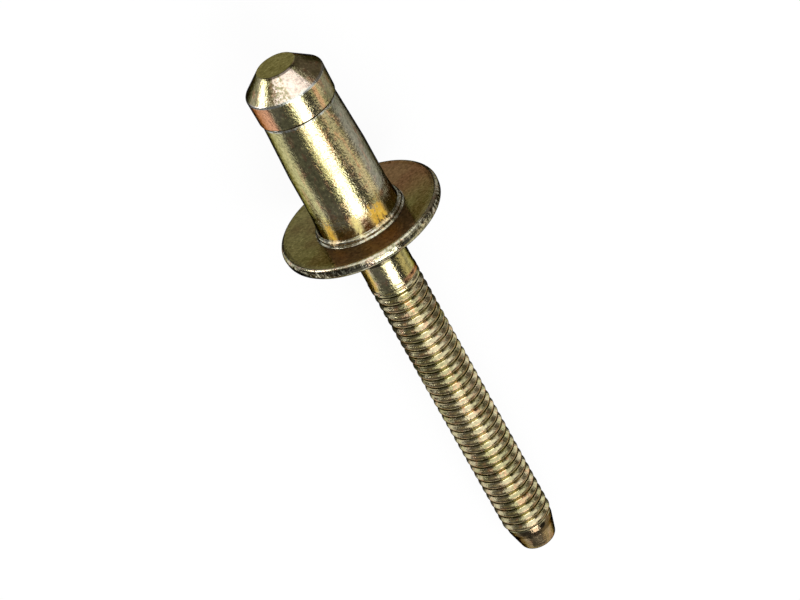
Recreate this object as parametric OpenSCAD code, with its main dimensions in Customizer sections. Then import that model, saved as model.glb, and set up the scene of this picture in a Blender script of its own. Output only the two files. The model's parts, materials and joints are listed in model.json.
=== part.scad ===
// Structural blind rivet of plated steel, not yet set: a sleeve with a flange, and the
// grooved mandrel that pulls it up. Each piece is drawn on the rivet's own axis, nose up,
// with the flange's bearing face at height 0 and the stem below it. The rivet is then laid
// down on the flange's rim and the stem's last ring, as it comes to rest on a bench.

/* [Sleeve] */
// Outside diameter of the sleeve
sleeve_d = 6.4; // [5.4:0.1:7.8]
// Length of the sleeve above the bearing face
sleeve_length = 10.6; // [8:0.1:20]
// Thickness of the sleeve's wall, from the bore outwards
sleeve_wall = 1.05; // [0.9:0.05:1.4]
// How much smaller in radius the sleeve's end is, drawn in against the mandrel head
draw_in = 0.2; // [0:0.01:0.3]
// Length over which the sleeve's end is drawn in
draw_in_length = 5; // [1:0.1:6]
// Radius of the rounded edge at the sleeve's end
sleeve_edge = 0.14; // [0.05:0.01:0.2]
// How far the cone-shaped mouth at the sleeve's end opens past the bore, in radius
mouth_width = 0.5; // [0.2:0.05:0.6]
// Depth of the cone-shaped mouth
mouth_depth = 0.55; // [0.2:0.05:1.5]

/* [Flange] */
// Diameter of the flange
flange_d = 13; // [10:0.1:16]
// Height of the flange's rim
rim_height = 1.02; // [1:0.02:1.3]
// How much smaller in radius the rim is at its outer face
rim_draft = 0.02; // [0:0.01:0.1]
// Radius of the rim's edge at the outer face
rim_round = 0.5; // [0.2:0.01:0.6]
// Radius of the rim's edge at the bearing face
face_edge = 0.3; // [0.1:0.01:0.35]
// Width of the flat ring on which the flange bears, inside the rim's edge
face_land = 0.3; // [0.2:0.05:1]
// How far the bearing face sinks from that flat ring to the sleeve's foot
face_dish = 0.27; // [0.1:0.01:0.3]
// Height of the low dome on the outer face, from the bearing face
dome_height = 1.6; // [1.4:0.05:2.2]
// Width of the sunk ring round the mandrel
recess_width = 0.45; // [0.2:0.05:0.8]
// Depth of the sunk ring
recess_depth = 0.35; // [0.1:0.05:0.6]
// Width of the flat ring on top of the dome, outside the sunk ring
crown_width = 0.7; // [0.3:0.05:1.2]

/* [Foot of the sleeve] */
// How far the raised bead at the sleeve's foot stands out from the sleeve
bead_width = 0.36; // [0.35:0.01:0.6]
// Height of the bead above the sunk face it stands on
bead_height = 0.5; // [0.4:0.01:0.6]
// Radius of the bead's round back
bead_round = 0.2; // [0.1:0.01:0.22]
// How far the bead's foot spreads on the sunk face
bead_spread = 0.04; // [0.02:0.01:0.1]
// Height at which the slight flare leaves the straight sleeve
flare_height = 1.85; // [1:0.05:3]

/* [Mandrel head] */
// How much smaller in radius the mandrel head is than the sleeve
head_step = 0.04; // [0:0.01:0.2]
// Length of the straight part of the head
head_length = 2.26; // [1.5:0.02:4]
// How much smaller in radius the head is where it meets the sleeve
head_draft = 0.04; // [0:0.01:0.1]
// Radius of the head's edge against the sleeve
head_edge = 0.16; // [0.05:0.01:0.2]
// Diameter of the flat on the nose
nose_d = 3.12; // [2:0.02:4]
// Length of the cone from the head to the flat
nose_length = 1.5; // [1:0.05:3]
// Radius of the rounded shoulder between the head and the cone
shoulder_round = 0.2; // [0.05:0.01:0.4]
// Radius of the edge round the nose's flat
nose_edge = 0.08; // [0.04:0.01:0.2]

/* [Shank] */
// Gap all round between the mandrel's shank and the bore
shank_gap = 0.05; // [0.02:0.01:0.08]
// Depth of the two lock grooves in the shank
lock_depth = 0.2; // [0.1:0.01:0.3]
// Width of each lock groove
lock_width = 0.5; // [0.3:0.05:0.6]
// Height of the upper lock groove's middle above the bearing face
lock_height = 1.2; // [0.9:0.1:3]
// How deep the break notch cuts into the shank
break_cut = 0.65; // [0.4:0.05:0.9]
// Width of the break notch
break_width = 0.6; // [0.4:0.05:0.8]
// How far the break notch's middle lies below the bearing face
break_drop = 0.75; // [0.6:0.05:0.9]

/* [Stem] */
// How much smaller in radius the plain neck is than the shank
neck_step = 0.11; // [0.03:0.01:0.3]
// Length of the low collar between the plain neck and the first groove
collar_length = 1; // [0.5:0.05:1.5]
// Length of the slope from the neck up to the collar
collar_slope = 0.1; // [0.05:0.01:0.2]
// Length of the slope from the collar down to the first groove
first_slope = 0.3; // [0.1:0.05:0.4]
// Number of pulling rings on the stem
ring_count = 32; // [12:1:44]
// Distance from one pulling ring to the next
ring_pitch = 0.768; // [0.65:0.002:0.9]
// How much smaller in radius the pulling rings are than the shank
ring_step = 0.07; // [0.03:0.01:0.3]
// Depth of the grooves between the rings
groove_depth = 0.2; // [0.08:0.01:0.24]
// Radius of each ring's round back
ring_round = 0.3; // [0.28:0.01:0.36]
// Depth below the bearing face of the first groove's middle
first_groove = 6.88; // [5:0.02:10]

/* [Tail] */
// Length of the plain land between the last groove and the tail's cone
tail_land = 0.44; // [0.1:0.02:1]
// How much larger in radius the land is than the bottom of the grooves
land_step = 0.05; // [0.02:0.01:0.1]
// Length of the tail past the plain land
tail_length = 2; // [1.5:0.1:4]
// How much smaller in radius the tail's end is than the land
tail_taper = 0.48; // [0.1:0.02:0.8]
// Radius of the tail's rounded end
tail_round = 0.5; // [0.2:0.05:0.8]

/* [Hidden] */
$fn = 64;
arc_steps = 5;
ring_facets = 24;
floor_share = 1 / 3;

sleeve_r = sleeve_d / 2;
bore_r = sleeve_r - sleeve_wall;
sleeve_end_r = sleeve_r - draw_in;
mouth_r = bore_r + mouth_width;
flange_r = flange_d / 2;
shank_r = bore_r - shank_gap;
neck_r = shank_r - neck_step;
break_r = shank_r - break_cut;

// The rim's outer edge, the dome that runs into it and the bead on the sunk face
rim_edge_r = flange_r - rim_draft - rim_round;
rim_edge_z = rim_round - rim_height;
recess_r = bore_r + recess_width;
crown_r = recess_r + crown_width;
dome_width = rim_edge_r - crown_r;
dome_rise = dome_height - rim_height;
dome_turn = 2 * atan(dome_rise / dome_width);
dome_r = dome_width / sin(dome_turn) + rim_round;
bead_edge_r = sleeve_r + bead_width;
bead_r = bead_edge_r - bead_round;
bead_z = bead_height - bead_round - face_dish;
bead_foot_turn = -50;
bead_back_turn = 100;

// The mandrel head seats on the sleeve's end
head_r = sleeve_r - head_step;
head_foot_r = head_r - head_draft;
nose_r = nose_d / 2;
head_top = sleeve_length + head_length;
nose_top = head_top + nose_length;
nose_lean = atan((head_r - nose_r) / nose_length);
shoulder_z = head_top - shoulder_round * tan(nose_lean / 2);
nose_edge_r = nose_r - nose_edge * tan(45 - nose_lean / 2);
nose_edge_z = nose_top - nose_edge;

// The second lock groove sits one groove's width below the first
lock_step = 2 * lock_width;

// The stem's collar and rings, from the neck down, and the tail after the last groove
ring_r = shank_r - ring_step;
root_r = ring_r - groove_depth;
neck_end = collar_length + collar_slope - first_groove;
ring_seat = ring_r - ring_round;
last_groove = first_groove + ring_count * ring_pitch;
last_ring = last_groove - ring_pitch / 2;
land_r = root_r + land_step;
tail_start = last_groove + tail_land;
tail_end = tail_start + tail_length;
tail_lean = atan(tail_taper / tail_length);
tail_round_z = tail_round - tail_end;
tail_round_r = land_r - tail_taper + tail_round * (tan(tail_lean) - 1 / cos(tail_lean));

// The angle at which one flat surface touches the last ring and a round edge of the rim
function rest_angle(r, z, round) =
    let (span = r - ring_seat, drop = last_ring + z)
    acos((ring_round - round) / norm([span, drop])) - atan2(drop, span);

lie_angle = max(
    rest_angle(rim_edge_r, rim_edge_z, rim_round),
    rest_angle(flange_r - face_edge, -face_edge, face_edge)
);

// The lowest point, and the two ends, once the rivet lies at that angle
rest_height = ring_seat * cos(lie_angle) + last_ring * sin(lie_angle) + ring_round;
nose_reach = nose_edge_z * cos(lie_angle) + nose_edge_r * sin(lie_angle) + nose_edge;
tail_reach = tail_round_r * sin(lie_angle) - tail_round_z * cos(lie_angle) + tail_round;

// A point of an arc as radius and height, a whole arc, and one that leaves its end to the next
function arc_point(r, z, round, turn) = [r + round * cos(turn), z + round * sin(turn)];

function arc(r, z, round, from, to) =
    [for (i = [0:arc_steps]) arc_point(r, z, round, from + (to - from) * i / arc_steps)];

function open_arc(r, z, round, from, to) =
    [for (i = [0:arc_steps - 1]) arc_point(r, z, round, from + (to - from) * i / arc_steps)];

// Points of a groove with sloping sides in the shank, from below it to above it
function groove(z, width, outer_r, inner_r) =
    let (floor_width = width * floor_share)
    [
        [outer_r, z - width / 2],
        [inner_r, z - floor_width / 2],
        [inner_r, z + floor_width / 2],
        [outer_r, z + width / 2]
    ];

function flange_outline() = concat(
    [[bore_r, recess_depth - dome_height], [recess_r, -dome_height]],
    open_arc(crown_r, dome_r - dome_height, dome_r, -90, dome_turn - 90),
    arc(rim_edge_r, rim_edge_z, rim_round, dome_turn - 90, 0),
    arc(flange_r - face_edge, -face_edge, face_edge, 0, 90),
    [[flange_r - face_edge - face_land, 0], [bead_edge_r + bead_spread, -face_dish]]
);

function sleeve_outline() = concat(
    arc(bead_r, bead_z, bead_round, bead_foot_turn, bead_back_turn),
    [[sleeve_r, flare_height], [sleeve_r, sleeve_length - draw_in_length]],
    arc(sleeve_end_r - sleeve_edge, sleeve_length - sleeve_edge, sleeve_edge, 0, 90),
    [[mouth_r, sleeve_length], [bore_r, sleeve_length - mouth_depth]]
);

function head_outline() = concat(
    [[shank_r, sleeve_length - mouth_depth], [mouth_r - shank_gap, sleeve_length]],
    arc(head_foot_r - head_edge, sleeve_length + head_edge, head_edge, -90, 0),
    arc(head_r - shoulder_round, shoulder_z, shoulder_round, 0, nose_lean),
    arc(nose_edge_r, nose_edge_z, nose_edge, nose_lean, 90),
    [[0, nose_top]]
);

function shank_outline() = concat(
    [[ring_r, first_slope - first_groove], [ring_r, collar_length - first_groove]],
    [[neck_r, neck_end], [neck_r, -dome_height]],
    groove(-break_drop, break_width, shank_r, break_r),
    groove(lock_height - lock_step, lock_width, shank_r, shank_r - lock_depth),
    groove(lock_height, lock_width, shank_r, shank_r - lock_depth)
);

function tail_outline() = concat(
    [[0, -tail_end]],
    arc(tail_round_r, tail_round_z, tail_round, -90, -tail_lean),
    [[land_r, -tail_start], [land_r, -last_groove - land_step]],
    [[root_r, -last_groove], [root_r, -first_groove]]
);

// One revolve makes the sleeve and its flange, which are a single formed piece
module rivet_body() {
    color([0.72, 0.62, 0.34])
        lying()
            rotate_extrude()
                polygon(concat(flange_outline(), sleeve_outline()));
}

// The mandrel's half section: the plain outline, with a round-backed ring at each pitch
module mandrel_section() {
    polygon(concat(tail_outline(), shank_outline(), head_outline()));
    for (i = [0:ring_count - 1])
        translate([ring_seat, -first_groove - (i + 0.5) * ring_pitch])
            circle(r = ring_round, $fn = ring_facets);
}

// The mandrel is turned in one piece, from the blunt nose to the tail
module mandrel() {
    color([0.66, 0.6, 0.36])
        lying()
            rotate_extrude()
                mandrel_section();
}

// Lays the rivet down with its nose forward and slightly up, centred over its own footprint
module lying() {
    translate([0, (nose_reach - tail_reach) / 2, rest_height])
        rotate([90 - lie_angle, 0, 0])
            children();
}

rivet_body();
mandrel();
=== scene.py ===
import json
import math

import bmesh
import bpy
from bpy.props import FloatProperty, FloatVectorProperty, IntProperty, PointerProperty
from mathutils import Matrix, Vector


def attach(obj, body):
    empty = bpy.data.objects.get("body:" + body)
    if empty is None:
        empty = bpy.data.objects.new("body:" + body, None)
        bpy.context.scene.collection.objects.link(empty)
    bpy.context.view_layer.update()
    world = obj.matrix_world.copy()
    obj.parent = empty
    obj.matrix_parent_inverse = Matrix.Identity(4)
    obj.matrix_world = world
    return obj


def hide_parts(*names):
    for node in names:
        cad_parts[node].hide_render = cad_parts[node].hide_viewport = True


bl_info = {
    "name": "Blind rivet",
    "version": (1, 0, 0),
    "blender": (4, 5, 0),
    "location": "3D View > Sidebar > Rivet",
    "description": "Builds a structural blind rivet of yellow plated steel, lying on a pale bench",
    "category": "Object",
}

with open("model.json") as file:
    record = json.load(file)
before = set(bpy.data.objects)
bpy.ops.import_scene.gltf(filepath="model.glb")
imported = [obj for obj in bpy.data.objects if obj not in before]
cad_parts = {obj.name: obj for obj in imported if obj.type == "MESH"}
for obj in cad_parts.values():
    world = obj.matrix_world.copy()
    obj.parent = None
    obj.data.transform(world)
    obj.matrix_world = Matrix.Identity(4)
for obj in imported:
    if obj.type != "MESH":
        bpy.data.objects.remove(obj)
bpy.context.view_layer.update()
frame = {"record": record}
MM = 0.001

# The rivet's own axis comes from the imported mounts: AXIS points to the nose, TOP is the side that
# faces the camera, SIDE is the row's X, and FOOT lies on the axis in the plane of the bearing face.
MOUNTS = {mount["name"]: mount for mount in frame["record"]["mounts"]}
AXIS = Vector(MOUNTS["sleeve"]["axis"]).normalized()
SIDE = Vector((1, 0, 0))
TOP = AXIS.cross(SIDE)
SLEEVE_MIDDLE = Vector(MOUNTS["sleeve"]["pos_m"])
FOOT = SLEEVE_MIDDLE + AXIS * (Vector(MOUNTS["bearing_face"]["pos_m"]) - SLEEVE_MIDDLE).dot(AXIS)
SLEEVE_D = 2 * MOUNTS["sleeve"]["dims"]["r_mm"] * MM
PLACE = Matrix.Translation(FOOT) @ Matrix((SIDE, TOP, AXIS)).transposed().to_4x4()

# How finely the pieces are turned: sectors round the axis, the space between rows in metres, and
# the rows on each pulling ring.
SLEEVE_SECTORS = 256
SLEEVE_ROW = 0.0005
MANDREL_SECTORS = 112
MANDREL_ROW = 0.00025
RING_ROWS = 20

# Radii of the soft bends in the half sections, in metres.
FLARE_BLEND = 0.003
SLOPE_BLEND = 0.00012
TAIL_BLEND = 0.0006

# The plating's specks and finer spots in millimetres, the bump's depth in metres, the roughness
# of the smooth plating, and what the specks add to it.
SPECK = 0.24
MOTTLE = 0.16
BUMP = 0.000022
SMOOTH = 0.08
ROUGHER = 0.22

# How far the cards stand that surround the rivet, that stand before those, and that are nearest.
AROUND = 0.58
BEFORE = 0.57
NEAREST = 0.55


def length(name, description, default, top=0.05):
    """A size in metres that a user may change."""
    return FloatProperty(name=name, description=description, default=default, min=0, max=top,
                         precision=5, step=0.001, unit="LENGTH", subtype="DISTANCE")


def shown(*levels):
    """A colour as the screen shows it, turned into amounts of light."""
    return tuple(((level + 0.055) / 1.055) ** 2.4 for level in levels)


def colour(name, description, default):
    """A colour that a user may change."""
    return FloatVectorProperty(name=name, description=description, default=shown(*default), size=3,
                               min=0, max=1, subtype="COLOR")


class SleeveSizes(bpy.types.PropertyGroup):
    """Sizes of the sleeve and its flange."""
    diameter: length("Sleeve diameter", "Outside diameter of the sleeve", SLEEVE_D)
    reach: length("Sleeve length", "Length of the sleeve above the bearing face", 0.0106)
    wall: length("Wall", "Thickness of the sleeve's wall", 0.00105)
    draw_in: length("Draw-in", "How much smaller in radius the sleeve's end is", 0.0002)
    draw_in_reach: length("Draw-in length", "Length over which the end is drawn in", 0.005)
    end_round: length("End edge", "Radius of the edge at the sleeve's end", 0.00014)
    mouth_width: length("Mouth width", "How far the mouth opens past the bore", 0.0005)
    mouth_depth: length("Mouth depth", "Depth of the cone-shaped mouth", 0.00055)
    flange: length("Flange diameter", "Diameter of the flange", 0.013)
    rim_height: length("Rim height", "Height of the flange's rim", 0.00102)
    rim_draft: length("Rim draft", "How much smaller in radius the rim is at its outer face", 0.00002)
    rim_round: length("Outer edge", "Radius of the rim's edge at the outer face", 0.0005)
    face_round: length("Face edge", "Radius of the rim's edge at the bearing face", 0.0003)
    face_land: length("Face land", "Width of the flat ring on which the flange bears", 0.0003)
    face_dish: length("Face dish", "How far the face sinks to the sleeve's foot", 0.00027)
    dome_height: length("Dome height", "Height of the low dome on the outer face", 0.0016)
    recess_width: length("Recess width", "Width of the sunk ring round the mandrel", 0.00045)
    recess_depth: length("Recess depth", "Depth of the sunk ring", 0.00035)
    crown_width: length("Crown width", "Width of the flat ring outside the sunk one", 0.0007)
    bead_width: length("Bead width", "How far the bead stands out from the sleeve", 0.00036)
    bead_height: length("Bead height", "Height of the bead above the sunk face", 0.0005)
    bead_round: length("Bead back", "Radius of the bead's round back", 0.0002)
    bead_spread: length("Bead foot", "How far the bead's foot spreads on the face", 0.00004)
    flare_height: length("Flare height", "Height at which the flare leaves the sleeve", 0.00185)


class MandrelSizes(bpy.types.PropertyGroup):
    """Sizes of the mandrel, from its nose to its tail."""
    head_step: length("Head step", "How much smaller in radius the head is than the sleeve", 0.00004)
    head_reach: length("Head length", "Length of the straight part of the head", 0.00226)
    head_draft: length("Head draft", "How much smaller in radius the head is at the sleeve", 0.00004)
    head_round: length("Head edge", "Radius of the head's edge against the sleeve", 0.00016)
    shoulder_round: length("Shoulder edge", "Radius of the edge between head and cone", 0.0002)
    nose: length("Nose diameter", "Diameter of the flat on the nose", 0.00312)
    nose_reach: length("Nose length", "Length of the cone from the head to the flat", 0.0015)
    nose_round: length("Nose edge", "Radius of the edge round the nose's flat", 0.00008)
    shank_gap: length("Shank gap", "Gap between the shank and the bore", 0.00005)
    lock_depth: length("Lock depth", "Depth of the lock grooves", 0.0002)
    lock_width: length("Lock width", "Width of each lock groove", 0.0005)
    lock_height: length("Lock height", "Height of the upper lock groove's middle", 0.0012)
    break_cut: length("Break cut", "How deep the break notch cuts into the shank", 0.00065)
    break_width: length("Break width", "Width of the break notch", 0.0006)
    break_drop: length("Break drop", "How far the break notch lies below the face", 0.00075)
    neck_step: length("Neck step", "How much smaller in radius the neck is than the shank", 0.00011)
    collar_length: length("Collar", "Length of the low collar before the first groove", 0.001)
    collar_slope: length("Collar slope", "Length of the slope from neck to collar", 0.0001)
    collar_mark: length("Collar mark", "How far the collar's shallow groove lies below its top", 0.00038)
    collar_width: length("Collar mark width", "Width of the collar's shallow groove", 0.0003)
    collar_cut: length("Collar mark depth", "Depth of the collar's shallow groove", 0.00009)
    first_slope: length("First slope", "Length of the slope down to the first groove", 0.0003)
    ring_count: IntProperty(name="Rings", description="Number of pulling rings", default=32,
                            min=1, max=60)
    ring_pitch: length("Ring pitch", "Distance from one ring to the next", 0.000768)
    ring_step: length("Ring step", "How much smaller in radius the rings are than the shank", 0.00007)
    groove_depth: length("Groove depth", "Depth of the grooves between the rings", 0.0002)
    ring_rise: FloatProperty(name="Ring rise", description="Part of the pitch on which a ring rises",
                             default=0.38, min=0.1, max=0.9, subtype="FACTOR")
    ring_wobble: length("Ring wobble", "Unevenness of the rolled rings", 0.000006)
    first_groove: length("First groove", "Depth of the first groove below the face", 0.00688)
    tail_land: length("Tail land", "Plain length after the last groove", 0.00044)
    land_step: length("Land step", "How much larger in radius the land is than the grooves", 0.00005)
    tail_reach: length("Tail length", "Length of the tail past the land", 0.002)
    tail_taper: length("Tail taper", "How much the tail's radius shrinks to its end", 0.00048)
    tail_round: length("Tail end", "Radius of the tail's round end", 0.0005)


class FinishColours(bpy.types.PropertyGroup):
    """Colours of the yellow plating."""
    gold: colour("Gold", "Main colour of the plating", (0.79, 0.75, 0.61))
    olive: colour("Olive", "Greener patches of the plating", (0.67, 0.65, 0.49))
    grey: colour("Grey", "Thin plating, where the zinc shows", (0.86, 0.88, 0.86))
    rose: colour("Rose", "Pink stains of the plating", (0.88, 0.66, 0.52))
    amber: colour("Amber", "Orange stains of the plating", (1.0, 0.81, 0.34))
    # Painted highlight: the colour of a pale streak at the sleeve's foot.
    straw_highlight: colour("Straw", "Pale yellow stain at the sleeve's foot", (1.0, 0.93, 0.62))
    # Painted highlight: the palest colour, laid on the cone's top side.
    highlight_cream: colour("Cream", "Palest plating", (0.95, 0.87, 0.80))
    mint: colour("Mint", "Pale green bands of the plating", (0.80, 0.78, 0.56))
    umber: colour("Umber", "Dark brown stains of the plating", (0.56, 0.44, 0.32))
    rust: colour("Rust", "Red-brown stain of the flange's face", (0.72, 0.50, 0.38))
    face: colour("Face", "Duller plating of the flange's face", (0.70, 0.66, 0.44))
    # The dark colour below also serves as painted shade: on the flange's face beneath the sleeve, round the
    # rim, and on the neck by the flange.
    shade_and_dirt: colour("Shade and dirt", "Dark lines along the edges", (0.20, 0.16, 0.12))
    edge: colour("Edge", "Reflection at a grazing angle", (0.10, 0.09, 0.07))


class StageSettings(bpy.types.PropertyGroup):
    """Camera, floor and lamps."""
    lens: FloatProperty(name="Lens", description="Focal length of the camera", default=180,
                        min=10, max=500, unit="CAMERA")
    distance: length("Distance", "From the camera to the rivet's axis", 0.3035, top=2)
    tilt: FloatProperty(name="Tilt", description="Angle between the rivet's axis and the picture",
                        default=math.radians(31.3), unit="ROTATION", subtype="ANGLE")
    roll: FloatProperty(name="Roll", description="Turn of the rivet's axis in the picture",
                        default=math.radians(29.29), unit="ROTATION", subtype="ANGLE")
    aim: length("Aim", "Point of the axis that the camera looks at, below the face", 0.00832)
    aside: length("Aside", "How far beside the axis the camera looks", 0.00043)
    floor_width: length("Floor width", "Width of the pale floor", 1.2, top=5)
    key_power: FloatProperty(name="Key lamp", description="Power of the long lamp above the stem",
                             default=0.3, min=0, unit="POWER")
    fill: FloatProperty(name="Fill", description="Level of the light all round", default=1, min=0)


def arc(middle, radius, start, end, steps):
    """Points of an arc in the half section, as radius and height, from one angle to another."""
    turns = [math.radians(start + (end - start) * i / steps) for i in range(steps + 1)]
    return [(middle[0] + radius * math.cos(t), middle[1] + radius * math.sin(t)) for t in turns]


def rounded(before, corner, after, radius, steps=6):
    """Points that round the corner between two straight lines of the half section."""
    corner = Vector(corner)
    back = (Vector(before) - corner).normalized()
    ahead = (Vector(after) - corner).normalized()
    half = math.acos(max(-1, min(1, back.dot(ahead)))) / 2
    middle = corner + (back + ahead).normalized() * radius / math.sin(half)
    first = corner + back * radius / math.tan(half) - middle
    last = corner + ahead * radius / math.tan(half) - middle
    sweep = first.angle_signed(last)
    start = math.atan2(first.y, first.x)
    return [(middle.x + radius * math.cos(start - sweep * i / steps),
             middle.y + radius * math.sin(start - sweep * i / steps)) for i in range(steps + 1)]


def groove(height, width, outer, inner):
    """Points of a groove with sloping sides, from below it to above it."""
    return [(outer, height - width / 2), (inner, height - width / 6),
            (inner, height + width / 6), (outer, height + width / 2)]


def with_rows(points, step, keep=0.00003):
    """The points, with more rows on long stretches and one close to each of their ends."""
    rows = []
    for (r0, z0), (r1, z1) in zip(points, points[1:]):
        reach = math.hypot(r1 - r0, z1 - z0)
        if reach < 1e-9:
            continue
        rows.append((r0, z0))
        if reach > 4 * keep:
            inner = max(1, round((reach - 2 * keep) / step))
            stops = [keep + (reach - 2 * keep) * i / inner for i in range(inner + 1)]
            rows += [(r0 + (r1 - r0) * s / reach, z0 + (z1 - z0) * s / reach) for s in stops]
    return rows + [points[-1]]


def turned_mesh(name, rows, sectors, closed):
    """A mesh turned round the local Z axis from the rows of its half section."""
    work = bmesh.new()
    rings = []
    for r, z in rows:
        if r < 1e-7:
            rings.append([work.verts.new((0, 0, z))])
            continue
        ring = []
        for i in range(sectors):
            turn = 2 * math.pi * i / sectors
            ring.append(work.verts.new((r * math.sin(turn), r * math.cos(turn), z)))
        rings.append(ring)
    pairs = list(zip(rings, rings[1:]))
    if closed:
        pairs.append((rings[-1], rings[0]))
    for below, above in pairs:
        for i in range(sectors):
            j = (i + 1) % sectors
            corners = [below[i % len(below)], below[j % len(below)],
                       above[j % len(above)], above[i % len(above)]]
            work.faces.new(list(dict.fromkeys(corners)))
    bmesh.ops.recalc_face_normals(work, faces=work.faces)
    mesh = bpy.data.meshes.new(name)
    work.to_mesh(mesh)
    work.free()
    mesh.shade_smooth()
    return mesh


def linked(name, data):
    """A new object at the origin of the scene."""
    thing = bpy.data.objects.new(name, data)
    bpy.context.scene.collection.objects.link(thing)
    return thing


def add_piece(name, mesh, material):
    """Links a finished mesh, placed on the rivet's axis, as an object at the origin."""
    mesh.transform(PLACE)
    mesh.materials.clear()
    mesh.materials.append(material)
    return linked(name, mesh)


class Wire:
    """A node's output that Python's signs work on, each sign adding one Math node."""

    def __init__(self, tree, socket):
        self.tree = tree
        self.socket = socket

    def maths(self, operation, *values, clamp=False):
        """Adds one Math node and gives its output."""
        node = add_node(self.tree, "ShaderNodeMath", {"operation": operation, "use_clamp": clamp},
                        dict(enumerate(values)))
        return Wire(self.tree, node.outputs[0])

    def __add__(self, other):
        return self.maths("ADD", self, other)

    def __radd__(self, other):
        return self.maths("ADD", other, self)

    def __sub__(self, other):
        return self.maths("SUBTRACT", self, other)

    def __rsub__(self, other):
        return self.maths("SUBTRACT", other, self)

    def __mul__(self, other):
        return self.maths("MULTIPLY", self, other)

    def __rmul__(self, other):
        return self.maths("MULTIPLY", other, self)

    def __truediv__(self, other):
        return self.maths("DIVIDE", self, other)

    def __pow__(self, other):
        return self.maths("POWER", self, other)


def add_node(tree, kind, settings=None, values=None):
    """Adds a node, sets its settings first, and then gives its sockets values or links."""
    node = tree.nodes.new(kind)
    for key, value in (settings or {}).items():
        setattr(node, key, value)
    for key, value in (values or {}).items():
        socket = node.inputs[key]
        if isinstance(value, Wire):
            tree.links.new(value.socket, socket)
        elif socket.type == "RGBA":
            socket.default_value = (*value, 1)
        else:
            socket.default_value = value
    return node


def cleared(block):
    """The node tree of a new material or world, with its first nodes taken out."""
    block.use_nodes = True
    block.node_tree.nodes.clear()
    return block.node_tree


def seen_directly(tree):
    """1 for what the camera, gloss or glass shows, and 0 for the light that falls on things."""
    rays = add_node(tree, "ShaderNodeLightPath")
    return (Wire(tree, rays.outputs["Is Camera Ray"]) + Wire(tree, rays.outputs["Is Glossy Ray"])
            + Wire(tree, rays.outputs["Is Transmission Ray"]))


class Coat:
    """One plated material: its nodes, and its place on the rivet's own axis in millimetres."""

    def __init__(self, name):
        self.material = bpy.data.materials.new(name)
        self.tree = cleared(self.material)
        spot = self.wire("ShaderNodeTexCoord", output="Object")
        away = self.vector("SUBTRACT", spot, FOOT)
        self.side = self.vector("DOT_PRODUCT", away, SIDE / MM, output="Value")
        self.top = self.vector("DOT_PRODUCT", away, TOP / MM, output="Value")
        self.along = self.vector("DOT_PRODUCT", away, AXIS / MM, output="Value")
        self.turn = self.side.maths("ARCTAN2", self.side, self.top) * (180 / math.pi)
        self.radius = (self.side * self.side + self.top * self.top) ** 0.5
        self.spot = self.wire("ShaderNodeCombineXYZ", output="Vector",
                              values={"X": self.side, "Y": self.top, "Z": self.along})

    def wire(self, kind, settings=None, values=None, output=0):
        """Adds any node and gives one of its outputs as a wire."""
        return Wire(self.tree, add_node(self.tree, kind, settings, values).outputs[output])

    def vector(self, operation, first, second, output="Vector", scale=1.0):
        """A Vector Math node."""
        values = {0: first, "Scale": scale} if second is None else {0: first, 1: second}
        return self.wire("ShaderNodeVectorMath", {"operation": operation}, values, output)

    def noise(self, size, stretch=1.0, detail=2.0, seed=0.0, rough=0.5):
        """Noise whose spots are about size millimetres, and longer along the axis by stretch."""
        scaled = self.vector("MULTIPLY", self.spot, (1 / size, 1 / size, 1 / (size * stretch)))
        moved = self.vector("ADD", scaled, (seed, seed * 1.7, seed * 0.6))
        return self.wire("ShaderNodeTexNoise", {"noise_dimensions": "3D"},
                         {"Vector": moved, "Scale": 1.0, "Detail": detail, "Roughness": rough}, "Fac")

    def ease(self, value, low, high):
        """Rises smoothly from 0 to 1 as value goes from low to high."""
        return self.wire("ShaderNodeMapRange", {"interpolation_type": "SMOOTHSTEP", "clamp": True},
                         {"Value": value, "From Min": low, "From Max": high}, "Result")

    def band(self, value, low, high, soft):
        """1 where value lies between low and high, with soft sides."""
        return self.ease(value, low - soft, low + soft) * (1 - self.ease(value, high - soft, high + soft))

    def patch(self, middle, spread, low, high, soft):
        """1 on one side of the rivet, between two heights in millimetres, with soft sides."""
        side = self.band(self.turn, middle - spread, middle + spread, soft)
        return side * self.band(self.along, low, high, 0.15)

    def mix(self, amount, first, second):
        """A Mix node for colours."""
        return self.wire("ShaderNodeMix", {"data_type": "RGBA"}, {0: amount, 6: first, 7: second}, 2)

    def speckled(self, base, speck, strength):
        """The colour with darker and lighter specks."""
        level = 1 + (speck - 0.5) * strength * 5
        return self.vector("SCALE", base, None, scale=level.maths("MAXIMUM", level, 0.3))

    def plating(self, cloud, colours):
        """Gold with olive clouds and faint pink and green stains."""
        hue = self.noise(0.5, 1.6, seed=8.8, rough=0.6)
        base = self.mix(self.ease(cloud, 0.42, 0.6), colours.gold, colours.olive)
        base = self.mix(self.ease(hue, 0.54, 0.7) * 0.5, base, colours.rose)
        return self.mix(self.ease(1 - hue, 0.54, 0.7) * 0.5, base, colours.mint)

    def finish(self, base, speck, matt, metal, edge):
        """Closes the material: the specks are rougher, and a fine bump breaks the streaks."""
        mottle = self.noise(MOTTLE, 1.3, detail=3.0, seed=1.9, rough=0.6)
        bump = self.wire("ShaderNodeBump", None,
                         {"Height": mottle, "Strength": 1.0, "Distance": BUMP}, "Normal")
        rough = self.ease(speck, 0.5, 0.75) * ROUGHER + SMOOTH + matt
        shader = self.wire("ShaderNodeBsdfPrincipled", None,
                           {"Base Color": base, "Metallic": metal, "Roughness": rough,
                            "Specular Tint": edge, "Normal": bump}, "BSDF")
        add_node(self.tree, "ShaderNodeOutputMaterial", None, {"Surface": shader})
        return self.material


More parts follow.
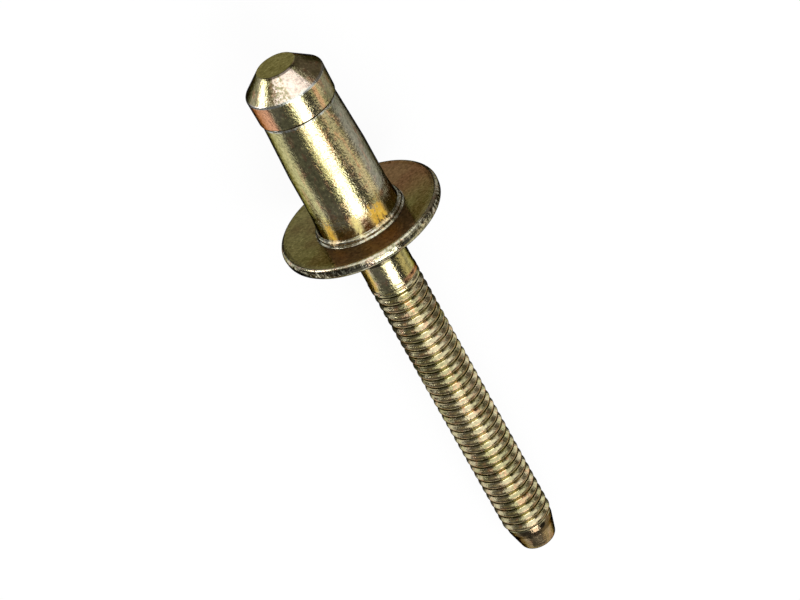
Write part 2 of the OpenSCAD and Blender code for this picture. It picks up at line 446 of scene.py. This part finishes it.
def sleeve_patches(coat, size, colours, base):
    """Grey on one side of the sleeve, pale green on the other, and fine rose streaks."""
    low = size.flare_height / MM + 0.35
    high = size.reach / MM - 0.2
    streak = coat.noise(0.45, 9.0, seed=7.3)
    base = coat.mix(coat.patch(-58, 16, low, high, 5) * 0.3, base, colours.grey)
    base = coat.mix(coat.patch(62, 18, low, high, 4) * 0.8, base, colours.mint)
    return coat.mix(coat.ease(streak, 0.54, 0.7) * 0.4, base, colours.rose)


def foot_stains(coat, size, colours, base, speck):
    """Orange and brown stains at the sleeve's foot, and a pale yellow painted highlight on it. Also gives
    where the orange stains and the highlight are.
    """
    bead = (size.diameter / 2 + size.bead_width) / MM + 0.06
    wavy = coat.along + (speck - 0.5) * 3
    foot = coat.band(wavy, 0.1, 1.6, 0.4) * coat.ease(bead - coat.radius, 0, 0.04)
    orange = coat.band(coat.turn, -36, -11, 5) + coat.band(coat.turn, 44, 56, 5)
    # Painted highlight: the pale streak on the foot's top side.
    yellow = coat.band(coat.turn, 4, 14, 4)
    brown = coat.band(coat.turn, -9, 2, 3) * 0.5
    base = coat.mix(foot * orange, base, colours.amber)
    base = coat.mix(foot * yellow, base, colours.straw_highlight)
    base = coat.mix(foot * brown, base, colours.umber)
    return base, foot * (orange + yellow)


def flange_face(coat, size, colours, base, cloud):
    """The duller bearing face, red-brown on one side, with painted shade where the sleeve shades it. Also
    gives that shaded part.
    """
    sleeve = size.diameter / 2 / MM
    bead = sleeve + size.bead_width / MM + 0.06
    rim = size.flange / 2 / MM - 0.28
    face = coat.band(coat.radius, bead, rim, 0.03) * coat.ease(coat.along, -0.4, -0.3)
    dull = coat.mix(coat.ease(cloud, 0.4, 0.65) * 0.5, colours.face, colours.umber)
    dull = coat.mix(coat.band(coat.turn, -150, -80, 20) * 0.6, dull, colours.rust)
    # Painted shade: the face is made brown and dark in a band beneath the sleeve, where the sleeve shades
    # it.
    shadow_area = coat.band(coat.side, -sleeve - 0.2, sleeve + 0.2, 0.15) * coat.ease(coat.top, 0, 0.5)
    shaded = face * shadow_area
    dull = coat.mix(shaded * 0.85, dull, colours.umber)
    dull = coat.mix(shaded * 0.3, dull, colours.shade_and_dirt)
    return coat.mix(face, base, dull), shaded


def worn_edges(coat, size, colours, base, speck):
    """Thin plating on the flange's rim, at the sleeve's end and on the bead."""
    sleeve = size.diameter / 2 / MM
    rim = size.flange / 2 / MM
    end = size.reach / MM
    bead = coat.band(coat.radius, sleeve + 0.1, sleeve + 0.46, 0.03)
    bead = bead * coat.band(coat.along, -0.3, 0.3, 0.05)
    worn = coat.ease(coat.radius, rim - 0.28, rim - 0.2) * 0.35 + bead * 0.6
    worn = worn + coat.ease(coat.along, end - 0.26, end - 0.2)
    worn = worn.maths("MULTIPLY", worn, coat.ease(speck, 0.35, 0.55), clamp=True)
    return coat.mix(worn * 0.8, base, colours.grey)


def rim_painted_shade(coat, size, colours, base, speck):
    """Painted shade on the rim: dark specks on two sides of it, and a dark line round its outer edge."""
    rim = size.flange / 2 / MM
    outer = 0.2 - size.rim_height / MM
    shade = coat.band(coat.turn, 24, 75, 10) + coat.band(coat.turn, -75, -30, 12) * 0.6
    shade = shade + coat.band(coat.along, -0.46, -0.14, 0.05) * 0.6
    shade = shade * coat.ease(coat.radius, rim - 0.12, rim - 0.04) * coat.ease(1 - speck, 0.35, 0.55)
    line = coat.ease(outer - coat.along, 0, 0.06) * coat.ease(coat.radius, rim - 0.4, rim - 0.3)
    dark = shade.maths("MINIMUM", shade + line, 1.0)
    return coat.mix(dark * 0.85, base, colours.shade_and_dirt)


def plated_sleeve(size, colours):
    """The sleeve and flange: satin and mottled, with stains, a duller face and a worn rim, painted shade on
    the face and round the rim, and a painted highlight at the foot.
    """
    coat = Coat("plated_sleeve")
    cloud = coat.noise(2.2, 2.0, seed=3.1)
    speck = coat.noise(SPECK, 1.3, seed=4.4, rough=0.65)
    base = coat.plating(cloud, colours)
    base = sleeve_patches(coat, size, colours, base)
    base, bright = foot_stains(coat, size, colours, base, speck)
    base, shaded = flange_face(coat, size, colours, base, cloud)
    base = worn_edges(coat, size, colours, base, speck)
    base = rim_painted_shade(coat, size, colours, base, speck)
    base = coat.speckled(base, speck, 0.34)
    return coat.finish(base, speck, bright * 0.42 + shaded * 0.35, 1 - bright * 0.6, colours.edge)


def nose_finish(coat, form, colours, base, speck):
    """Rose stains on the head, a painted highlight that makes the cone palest on its top side, and a dull
    flat with a dark ring round it on the top side.
    """
    end = form.body.reach / MM
    head_top = form.head_top / MM
    nose_top = form.nose_top / MM
    nose = form.nose / MM
    head = coat.ease(coat.along, end - 0.1, end) * coat.ease(head_top + 0.14 - coat.along, 0, 0.15)
    base = coat.mix(head * coat.band(coat.turn, 40, 80, 4), base, colours.rose)
    base = coat.mix(head * coat.band(coat.turn, -35, -28, 2) * 0.6, base, colours.rose)
    # Painted highlight: the cone's top side, and patches beside it, are made palest where the front light
    # shines back.
    cone = coat.ease(coat.along, head_top + 0.02, head_top + 0.09)
    cone = cone * coat.ease(coat.radius, nose - 0.06, nose + 0.02)
    patchy = coat.band(coat.turn, 3, 28, 4) * coat.ease(speck, 0.4, 0.6)
    base = coat.mix(cone * coat.band(coat.turn, -32, 3, 2), base, colours.highlight_cream)
    base = coat.mix(cone * patchy, base, colours.highlight_cream)
    flat = coat.ease(coat.along, nose_top - 0.06, nose_top - 0.02)
    base = coat.mix(flat * coat.ease(nose - 0.01 - coat.radius, 0, 0.04), base, colours.face)
    # A dark ring round the flat's edge, on the top side only.
    ring = coat.band(coat.radius, nose - 0.09, nose + 0.12, 0.03) * coat.band(coat.turn, -50, 55, 15)
    ring = ring * coat.ease(coat.along, nose_top - 0.36, nose_top - 0.26)
    base = coat.mix(ring * 0.8, base, colours.shade_and_dirt)
    shoulder = coat.band(coat.along, head_top - 0.12, head_top + 0.08, 0.03)
    base = coat.mix(shoulder * 0.8, base, colours.grey)
    seam = coat.band(coat.along, end - 0.05, end + 0.14, 0.02)
    return coat.mix(seam * 0.8, base, colours.shade_and_dirt)


def neck_finish(coat, form, colours, base):
    """Yellow and olive sides of the neck, a red-brown edge, and painted shade towards the flange, where the
    flange shades the neck.
    """
    collar = form.collar / MM
    dome = -form.body.dome_height / MM
    neck = coat.band(coat.along, collar - 0.12, dome, 0.15)
    base = coat.mix(neck * coat.band(coat.turn, 48, 85, 5) * 0.6, base, colours.amber)
    base = coat.mix(neck * coat.band(coat.turn, -85, -20, 5) * 0.95, base, colours.face)
    edge = coat.band(coat.along, collar - 0.22, collar + 0.18, 0.15) * coat.ease(-10 - coat.turn, 0, 9)
    base = coat.mix(edge * 0.8, base, colours.rust)
    # Painted shade: the neck is darkened towards the flange, which shades it.
    return coat.mix(coat.band(coat.along, dome - 2.12, dome, 0.05) * 0.8, base, colours.shade_and_dirt)


def stem_finish(coat, form, colours, base):
    """Brown lines in the grooves and on the rings' backs, and a brown tail with a darker land."""
    crest = form.crest / MM
    tail = form.last / MM - 0.044
    rings = coat.ease(form.first / MM + 0.18 - coat.along, 0, 0.1)
    rings = rings * coat.ease(coat.along, tail, tail + 0.2)
    valley = coat.ease(crest - 0.13 - coat.radius, 0, 0.08) * 0.15
    ridge = coat.ease(coat.radius, crest - 0.025, crest - 0.008) * 0.7
    base = coat.mix(rings * valley, base, colours.umber)
    base = coat.mix(rings * ridge, base, colours.umber)
    base = coat.mix(coat.ease(tail - coat.along, 0, 0.1) * 0.6, base, colours.umber)
    return coat.mix(coat.band(coat.along, tail - 0.8, tail, 0.06) * 0.6, base, colours.shade_and_dirt)


def plated_mandrel(form, colours):
    """The mandrel: glossier, with stains on the head and the neck, a painted highlight on the cone, painted
    shade on the neck by the flange, and a brown tail.
    """
    coat = Coat("plated_mandrel")
    cloud = coat.noise(1.6, 1.5, seed=5.7)
    speck = coat.noise(SPECK, 1.0, seed=2.6, rough=0.65)
    base = coat.plating(cloud, colours)
    base = nose_finish(coat, form, colours, base, speck)
    base = neck_finish(coat, form, colours, base)
    base = stem_finish(coat, form, colours, base)
    return coat.finish(coat.speckled(base, speck, 0.3), speck, 0.0, 1.0, colours.edge)


def flange_points(size):
    """Half section of the flange: the sunk ring, the dome, the rim and the dished face."""
    sleeve = size.diameter / 2
    bore = sleeve - size.wall
    flange = size.flange / 2
    recess = bore + size.recess_width
    crown = recess + size.crown_width
    rim = flange - size.rim_draft - size.rim_round
    rim_z = size.rim_round - size.rim_height
    dome_width = rim - crown
    dome_turn = 2 * math.degrees(math.atan((size.dome_height - size.rim_height) / dome_width))
    dome = dome_width / math.sin(math.radians(dome_turn)) + size.rim_round
    points = [(bore, size.recess_depth - size.dome_height), (recess, -size.dome_height)]
    points += arc((crown, dome - size.dome_height), dome, -90, dome_turn - 90, 12)[:-1]
    points += arc((rim, rim_z), size.rim_round, dome_turn - 90, 0, 8)
    points += arc((flange - size.face_round, -size.face_round), size.face_round, 0, 90, 8)
    points += [(flange - size.face_round - size.face_land, 0)]
    return points + [(sleeve + size.bead_width + size.bead_spread, -size.face_dish)]


def sleeve_points(size):
    """Half section of the sleeve: the bead, the flare, the drawn-in end and the mouth."""
    sleeve = size.diameter / 2
    bore = sleeve - size.wall
    bead = sleeve + size.bead_width - size.bead_round
    bead_z = size.bead_height - size.bead_round - size.face_dish
    end = sleeve - size.draw_in
    points = arc((bead, bead_z), size.bead_round, -50, 100, 14)
    points += rounded(points[-1], (sleeve, size.flare_height), (sleeve, size.reach), FLARE_BLEND)
    points += [(sleeve, size.reach - size.draw_in_reach)]
    points += arc((end - size.end_round, size.reach - size.end_round), size.end_round, 0, 90, 8)
    return points + [(bore + size.mouth_width, size.reach), (bore, size.reach - size.mouth_depth)]


class RIVET_OT_sleeve(bpy.types.Operator):
    """Builds the sleeve and its flange as one turned piece"""
    bl_idname = "rivet.sleeve"
    bl_label = "Sleeve and flange"

    def execute(self, context):
        size = context.scene.rivet_sleeve
        outline = flange_points(size) + sleeve_points(size)
        rows = with_rows(outline + outline[:1], SLEEVE_ROW)[:-1]
        mesh = turned_mesh("sleeve_and_flange", rows, SLEEVE_SECTORS, True)
        material = plated_sleeve(size, context.scene.rivet_colours)
        piece = add_piece("sleeve_and_flange", mesh, material)
        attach(piece, "root")
        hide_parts("rivet_body")
        return {"FINISHED"}


class MandrelForm:
    """Radii and heights that follow from the mandrel's sizes, and its half section in metres."""

    def __init__(self, size, body):
        self.size = size
        self.body = body
        sleeve = body.diameter / 2
        self.bore = sleeve - body.wall
        self.shank = self.bore - size.shank_gap
        self.neck = self.shank - size.neck_step
        self.crest = self.shank - size.ring_step
        self.root = self.crest - size.groove_depth
        self.land = self.root + size.land_step
        self.head = sleeve - size.head_step
        self.nose = size.nose / 2
        self.head_top = body.reach + size.head_reach
        self.nose_top = self.head_top + size.nose_reach
        self.first = -size.first_groove
        self.last = self.first - size.ring_count * size.ring_pitch
        self.collar = self.first + size.collar_length

    def tail_points(self):
        """The round end, the cone and the land, from the axis to the last groove."""
        size = self.size
        start = self.last - size.tail_land
        end = start - size.tail_reach
        lean = math.atan(size.tail_taper / size.tail_reach)
        tip = self.land - size.tail_taper + size.tail_round * (math.tan(lean) - 1 / math.cos(lean))
        points = [(0, end)]
        points += arc((tip, end + size.tail_round), size.tail_round, -90, -math.degrees(lean), 10)
        points += rounded(points[-1], (self.land, start), (self.land, self.last), TAIL_BLEND)
        return points + [(self.land, self.last - size.land_step), (self.root, self.last)]

    def stem_points(self):
        """The plain stem in even rows, from the last groove to the first."""
        step = self.size.ring_pitch / RING_ROWS
        count = self.size.ring_count * RING_ROWS
        return [(self.root, self.last + step * i) for i in range(count + 1)]

    def shank_points(self):
        """The collar, the neck and the shank with its notch and lock grooves."""
        size = self.size
        slope_top = (self.crest, self.first + size.first_slope)
        mark = self.collar - size.collar_mark
        points = [(self.root, self.first)]
        points += rounded(points[-1], slope_top, (self.crest, self.collar), SLOPE_BLEND)
        points += groove(mark, size.collar_width, self.crest, self.crest - size.collar_cut)
        points += [(self.crest, self.collar), (self.neck, self.collar + size.collar_slope)]
        points += [(self.neck, -self.body.dome_height)]
        points += groove(-size.break_drop, size.break_width, self.shank, self.shank - size.break_cut)
        for height in (size.lock_height - 2 * size.lock_width, size.lock_height):
            points += groove(height, size.lock_width, self.shank, self.shank - size.lock_depth)
        return points

    def head_points(self):
        """The cone in the sleeve's mouth, the head and the nose, up to the axis."""
        size, body = self.size, self.body
        mouth = self.bore + body.mouth_width - size.shank_gap
        foot = self.head - size.head_draft
        shoulder = (self.head, self.head_top)
        flat = (self.nose, self.nose_top)
        points = [(self.shank, body.reach - body.mouth_depth), (mouth, body.reach)]
        points += arc((foot - size.head_round, body.reach + size.head_round), size.head_round, -90, 0, 8)
        points += rounded((foot, body.reach), shoulder, flat, size.shoulder_round)
        points += rounded(shoulder, flat, (0, self.nose_top), size.nose_round)
        return points + [(0, self.nose_top)]

    def rows(self):
        """All rows of the half section, from the tail to the nose."""
        lower = with_rows(self.tail_points(), MANDREL_ROW)[:-1] + self.stem_points()[:-1]
        return lower + with_rows(self.shank_points() + self.head_points(), MANDREL_ROW)


def ring_tree(size, crest, material):
    """Geometry nodes that roll the pulling rings into the plain stem."""
    tree = bpy.data.node_groups.new("Pulling rings", "GeometryNodeTree")
    tree.interface.new_socket("Geometry", in_out="INPUT", socket_type="NodeSocketGeometry")
    tree.interface.new_socket("Geometry", in_out="OUTPUT", socket_type="NodeSocketGeometry")
    values = {
        "First Groove": size.first_groove, "Ring Pitch": size.ring_pitch,
        "Ring Count": float(size.ring_count), "Crest Radius": crest,
        "Groove Depth": size.groove_depth, "Groove Place": 0.5 - size.ring_rise,
        "Rise": size.ring_rise, "Wobble": size.ring_wobble,
    }
    sockets = {name: tree.interface.new_socket(name, in_out="INPUT", socket_type="NodeSocketFloat")
               for name in values}
    given = add_node(tree, "NodeGroupInput")
    value = {name: Wire(tree, given.outputs[name]) for name in values}

    def wire(kind, settings=None, values=None, output=0):
        return Wire(tree, add_node(tree, kind, settings, values).outputs[output])

    position = wire("GeometryNodeInputPosition")
    parts = add_node(tree, "ShaderNodeSeparateXYZ", None, {0: position})
    x, y, z = (Wire(tree, parts.outputs[i]) for i in range(3))
    steps = (0 - z - value["First Groove"]) / value["Ring Pitch"]
    inside = (steps.maths("GREATER_THAN", steps, 0.001)
              * steps.maths("LESS_THAN", steps, value["Ring Count"] - 0.001))
    place = steps.maths("FRACT", steps - value["Groove Place"])
    rise = place.maths("MINIMUM", place, value["Rise"]) * 0.5 / value["Rise"]
    fall = place.maths("MAXIMUM", place - value["Rise"], 0.0) * 0.5 / (1 - value["Rise"])
    turn = (rise + fall) * (2 * math.pi)
    wave = turn.maths("COSINE", turn) * 0.5 + 0.5
    wanted = value["Crest Radius"] - wave * value["Groove Depth"]
    uneven = wire("ShaderNodeTexNoise", {"noise_dimensions": "3D"},
                  {"Vector": position, "Scale": 900.0, "Detail": 1.0}, "Fac")
    wanted = wanted + (uneven - 0.5) * value["Wobble"] * 2
    factor = wanted / (x * x + y * y) ** 0.5
    moved = wire("ShaderNodeCombineXYZ", None, {"X": x * factor, "Y": y * factor, "Z": z})
    shaped = wire("GeometryNodeSetPosition", None,
                  {"Geometry": Wire(tree, given.outputs["Geometry"]), "Selection": inside,
                   "Position": moved})
    real = wire("GeometryNodeRealizeInstances", None, {"Geometry": shaped})
    dressed = wire("GeometryNodeSetMaterial", None, {"Geometry": real, "Material": material})
    add_node(tree, "NodeGroupOutput", None, {0: dressed})
    return tree, {sockets[name].identifier: values[name] for name in values}


def rolled_mesh(context, mesh, tree, inputs):
    """Runs the geometry nodes on the plain mandrel and gives back the finished mesh."""
    blank = linked("mandrel_blank", mesh)
    rolling = blank.modifiers.new("Rings", "NODES")
    rolling.node_group = tree
    for identifier, value in inputs.items():
        rolling[identifier] = value
    graph = context.evaluated_depsgraph_get()
    rolled = bpy.data.meshes.new_from_object(blank.evaluated_get(graph))
    blank.modifiers.remove(rolling)
    bpy.data.objects.remove(blank)
    rolled.name = "mandrel_with_rings"
    return rolled


class RIVET_OT_mandrel(bpy.types.Operator):
    """Builds the mandrel from its blunt nose to its tail and rolls its rings"""
    bl_idname = "rivet.mandrel"
    bl_label = "Mandrel"

    def execute(self, context):
        size = context.scene.rivet_mandrel
        form = MandrelForm(size, context.scene.rivet_sleeve)
        mesh = turned_mesh("mandrel_blank", form.rows(), MANDREL_SECTORS, False)
        material = plated_mandrel(form, context.scene.rivet_colours)
        tree, inputs = ring_tree(size, form.crest, material)
        piece = add_piece("mandrel_with_rings", rolled_mesh(context, mesh, tree, inputs), material)
        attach(piece, "root")
        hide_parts("mandrel")
        return {"FINISHED"}


def direction(azimuth, elevation):
    """Unit vector from the rivet towards a compass angle, 0 in front and 90 on the right."""
    a, e = math.radians(azimuth), math.radians(elevation)
    return Vector((math.sin(a) * math.cos(e), -math.cos(a) * math.cos(e), math.sin(e)))


def glow_material(name, level, tint):
    """A card of one plain level."""
    material = bpy.data.materials.new(name)
    tree = cleared(material)
    glow = add_node(tree, "ShaderNodeEmission", None, {"Color": tint, "Strength": level})
    add_node(tree, "ShaderNodeOutputMaterial", None, {"Surface": Wire(tree, glow.outputs[0])})
    return material


def add_card(name, corners, level, tint=(1, 1, 1)):
    """A card that only the metal sees, so that its gloss has something to show."""
    mesh = bpy.data.meshes.new(name)
    mesh.from_pydata([tuple(corner) for corner in corners], [], [tuple(range(len(corners)))])
    return show_to_gloss(name, mesh, level, tint)


def show_to_gloss(name, mesh, level, tint):
    """Links a card's mesh and hides it from everything but the metal's gloss."""
    mesh.materials.append(glow_material(name, level, tint))
    card = linked(name, mesh)
    for ray in ("camera", "diffuse", "shadow", "transmission"):
        setattr(card, "visible_" + ray, False)
    return card


def standing_card(name, azimuth, elevation, distance, width, height, level):
    """A flat card that faces the rivet from one side."""
    facing = direction(azimuth, elevation)
    across = Vector((0, 0, 1)).cross(facing).normalized() * width / 2
    up = facing.cross(across).normalized() * height / 2
    middle = facing * distance
    corners = [middle - across - up, middle + across - up, middle + across + up, middle - across + up]
    return add_card(name, corners, level)


def curved_card(name, azimuths, elevations, distance, level, tint=(1, 1, 1)):
    """A card bent round the rivet, between two compass angles and two heights."""
    steps = 16
    mesh = bpy.data.meshes.new(name)
    points = []
    for j in range(steps + 1):
        for i in range(steps + 1):
            a = azimuths[0] + (azimuths[1] - azimuths[0]) * i / steps
            e = elevations[0] + (elevations[1] - elevations[0]) * j / steps
            points.append(tuple(direction(a, e) * distance))
    faces = []
    for j in range(steps):
        for i in range(steps):
            k = j * (steps + 1) + i
            faces.append((k, k + 1, k + steps + 2, k + steps + 1))
    mesh.from_pydata(points, [], faces)
    return show_to_gloss(name, mesh, level, tint)


def floor_card(name, corners, level, tint=(1, 1, 1)):
    """A card just above the floor, its corners given in millimetres."""
    lift = 0.02
    return add_card(name, [Vector((x, y, lift)) * MM for x, y in corners], level, tint)


class RIVET_OT_stage(bpy.types.Operator):
    """Lays the pale floor and sets the lamps and the camera"""
    bl_idname = "rivet.stage"
    bl_label = "Stage"

    def execute(self, context):
        stage = context.scene.rivet_stage
        self.add_floor(stage.floor_width)
        self.set_world(stage.fill)
        self.add_lamps(stage.key_power)
        self.add_room_cards()
        self.add_floor_cards()
        self.add_camera(context, stage)
        context.scene.view_settings.view_transform = "Standard"
        return {"FINISHED"}

    def add_floor(self, width):
        """A pale floor that stays white round the rivet and keeps its shadow."""
        mesh = bpy.data.meshes.new("floor")
        half = width / 2
        mesh.from_pydata([(-half, -half, 0), (half, -half, 0), (half, half, 0), (-half, half, 0)], [],
                         [(0, 1, 2, 3)])
        material = bpy.data.materials.new("pale_floor")
        tree = cleared(material)
        seen = seen_directly(tree) * 0.92
        matt = add_node(tree, "ShaderNodeBsdfDiffuse", None, {"Color": (0.95, 0.95, 0.95)})
        glow = add_node(tree, "ShaderNodeEmission", None, {"Color": (1, 1, 1), "Strength": 1.0})
        mixed = add_node(tree, "ShaderNodeMixShader", None,
                         {0: seen, 1: Wire(tree, matt.outputs[0]), 2: Wire(tree, glow.outputs[0])})
        add_node(tree, "ShaderNodeOutputMaterial", None, {"Surface": Wire(tree, mixed.outputs[0])})
        mesh.materials.append(material)
        floor = linked("floor", mesh)

    def set_world(self, fill):
        """White where it is seen, and a softer level as light."""
        world = bpy.data.worlds.new("studio")
        tree = cleared(world)
        level = seen_directly(tree) * (1 - fill) + fill
        glow = add_node(tree, "ShaderNodeBackground", None, {"Color": (1, 1, 1), "Strength": level})
        add_node(tree, "ShaderNodeOutputWorld", None, {"Surface": Wire(tree, glow.outputs[0])})
        bpy.context.scene.world = world

    def add_lamps(self, power):
        """A soft lamp above the stem, which gives the floor its faint shadow."""
        lamp = bpy.data.lights.new("key_lamp", "AREA")
        lamp.shape = "RECTANGLE"
        lamp.size, lamp.size_y = 0.2, 0.2
        lamp.energy = power
        key = linked("key_lamp", lamp)
        facing = direction(183, 60)
        key.location = facing * 0.3
        key.rotation_mode = "QUATERNION"
        key.rotation_quaternion = facing.to_track_quat("Z", "Y")
        key.visible_glossy = False

    def add_room_cards(self):
        """Bright, grey and dark cards round the rivet, which give the metal its streaks."""
        standing_card("card_key", 184, 50, 0.5, 0.22, 0.22, 6.0)
        standing_card("card_ceiling", 0, 89, 0.56, 0.36, 0.6, 1.9)
        standing_card("card_camera", 0, 67, 0.45, 0.05, 0.05, 0.3)
        curved_card("card_dark_right", (60, 172), (-1, 66), AROUND, 0.15)
        curved_card("card_dark_back", (172, 190), (15, 66), AROUND, 0.15)
        curved_card("card_low_back", (165, 190), (-1, 15), BEFORE, 0.6)
        curved_card("card_foot_right", (132, 160), (52, 63), NEAREST, 2.6, (1, 0.95, 0.7))
        curved_card("card_foot_left", (200, 225), (52, 63), NEAREST, 1.5, (1, 0.9, 0.6))
        curved_card("card_dark_left", (190, 233), (14, 66), AROUND, 0.08)
        curved_card("card_back_left", (190, 233), (-1, 14), BEFORE, 0.9, (1, 0.9, 0.7))
        curved_card("card_warm_left", (233, 242), (-1, 48), AROUND, 1.1, (1, 0.92, 0.72))
        curved_card("card_low_left", (242, 322), (-1, 21), AROUND, 0.15, (1, 0.85, 0.7))
        curved_card("card_mid_left", (242, 314), (21, 48), AROUND, 0.65)
        curved_card("card_high_left", (233, 300), (48, 66), AROUND, 0.2)
        curved_card("card_front", (-46, 33), (21, 58), AROUND, 1.3)
        curved_card("card_brown_right", (33, 60), (-1, 58), AROUND, 0.22, (1, 0.85, 0.6))

    def add_floor_cards(self):
        """Grey and dark cards on the floor, for the metal's lower sides. The darkest ones, beneath and
        beside the rivet, are a painted shadow that only the metal's gloss shows.
        """
        # Painted shadow: a dark card on the floor beneath the flange and sleeve.
        shadow_area = [(-6.3, -26), (6.3, -26), (6.3, -8), (4.4, -3), (-4.4, -3), (-6.3, -8)]
        floor_card("card_shadow_beneath", shadow_area, 0.33)
        floor_card("card_under_nose", [(-8.5, -40), (8.5, -40), (8, -26), (-8, -26)], 0.42)
        # Painted shadow beside the flange.
        floor_card("card_shadow_right", [(6.3, -26), (8, -26), (9.5, -22), (9.5, -12), (6.3, -8)], 0.06)
        floor_card("card_shadow_left", [(-6.3, -26), (-8, -26), (-9.5, -22), (-9.5, -12), (-6.3, -8)], 0.06)
        # Painted shadow beneath the stem.
        stem = [(-4.4, -3), (4.4, -3), (5.5, 4), (5.5, 27), (-5.5, 27), (-5.5, 4)]
        floor_card("card_shadow_stem", stem, 0.12)
        # Painted shadow on the floor next to the rim.
        rim = [(6.3, -8), (11, -7), (24, -3), (24, 4), (5.5, 4), (4.4, -3)]
        floor_card("card_shadow_rim_right", rim, 0.08)
        floor_card("card_shadow_rim_left", [(-6.3, -8), (-12, -8), (-12, 0), (-4.8, 0), (-4.4, -3)], 0.08)
        near = [(-4.8, 0), (-12, 0), (-30, 10), (-30, 60), (-5.5, 60), (-5.5, 4)]
        floor_card("card_floor_near_left", near, 1.2)
        middle = [(-9.5, -19), (-22, -13), (-107, 28), (-107, 90), (-30, 60), (-30, 10), (-12, 0), (-12, -8),
                  (-6.3, -8), (-9.5, -12)]
        floor_card("card_floor_left", middle, 0.5)
        far = [(-107, 28), (-500, 200), (-500, 500), (-5.5, 500), (-5.5, 60), (-30, 60), (-107, 90)]
        floor_card("card_floor_far_left", far, 0.4)
        dark = [(-9.5, -19), (-9.5, -22), (-8, -26), (-8.5, -40), (-8.5, -500), (-500, -500),
                (-500, 200), (-107, 28), (-22, -13)]
        floor_card("card_floor_nose_left", dark, 0.13, (1, 0.85, 0.7))
        floor_card("card_floor_near_right", [(8.5, -40), (24, -48), (38, -38), (28, -22), (8, -26)], 0.55)
        floor_card("card_floor_strip", [(24, -48), (85, -140), (150, -95), (38, -38)], 7.0)
        ahead = [(8.5, -500), (500, -500), (85, -140), (24, -48), (8.5, -40)]
        floor_card("card_floor_nose_right", ahead, 0.4)
        right = [(9.5, -19), (22, -13), (107, 28), (500, 200), (500, -320), (150, -95), (38, -38), (28, -22),
                 (8, -26), (9.5, -22)]
        floor_card("card_floor_dark_right", right, 0.12)
        floor_card("card_floor_stem", [(5.5, 4), (24, 4), (24, 60), (5.5, 60)], 1.0)

    def add_camera(self, context, stage):
        """The photograph's own view: from above the nose, with the stem to the lower right."""
        nose_way = AXIS * math.cos(stage.tilt) - TOP * math.sin(stage.tilt)
        back = AXIS * math.sin(stage.tilt) + TOP * math.cos(stage.tilt)
        across = -nose_way * math.sin(stage.roll) - SIDE * math.cos(stage.roll)
        up = nose_way * math.cos(stage.roll) - SIDE * math.sin(stage.roll)
        place = FOOT - AXIS * stage.aim + SIDE * stage.aside + back * stage.distance
        lens = bpy.data.cameras.new("camera")
        lens.lens = stage.lens
        lens.sensor_width = 36
        lens.clip_start, lens.clip_end = 0.01, 10
        camera = linked("camera", lens)
        turned = Matrix((across, up, back)).transposed().to_4x4()
        camera.matrix_world = Matrix.Translation(place) @ turned
        context.scene.camera = camera


class RIVET_PT_panel(bpy.types.Panel):
    """Lists the rivet's pieces and sizes"""
    bl_label = "Blind rivet"
    bl_idname = "RIVET_PT_panel"
    bl_space_type = "VIEW_3D"
    bl_region_type = "UI"
    bl_category = "Rivet"

    def draw(self, context):
        column = self.layout.column()
        for group in ("rivet_sleeve", "rivet_mandrel", "rivet_colours", "rivet_stage"):
            settings = getattr(context.scene, group)
            for name in settings.__annotations__:
                column.prop(settings, name)
        for operator in (RIVET_OT_sleeve, RIVET_OT_mandrel, RIVET_OT_stage):
            column.operator(operator.bl_idname)


GROUPS = {"rivet_sleeve": SleeveSizes, "rivet_mandrel": MandrelSizes,
          "rivet_colours": FinishColours, "rivet_stage": StageSettings}
CLASSES = (*GROUPS.values(), RIVET_OT_sleeve, RIVET_OT_mandrel, RIVET_OT_stage, RIVET_PT_panel)


def register():
    for cls in CLASSES:
        bpy.utils.register_class(cls)
    for name, group in GROUPS.items():
        setattr(bpy.types.Scene, name, PointerProperty(type=group))


def unregister():
    for name in GROUPS:
        delattr(bpy.types.Scene, name)
    for cls in reversed(CLASSES):
        bpy.utils.unregister_class(cls)


def main():
    """Builds the pieces and the stage."""
    register()
    bpy.ops.rivet.sleeve()
    bpy.ops.rivet.mandrel()
    bpy.ops.rivet.stage()


if __name__ == "__main__":
    main()
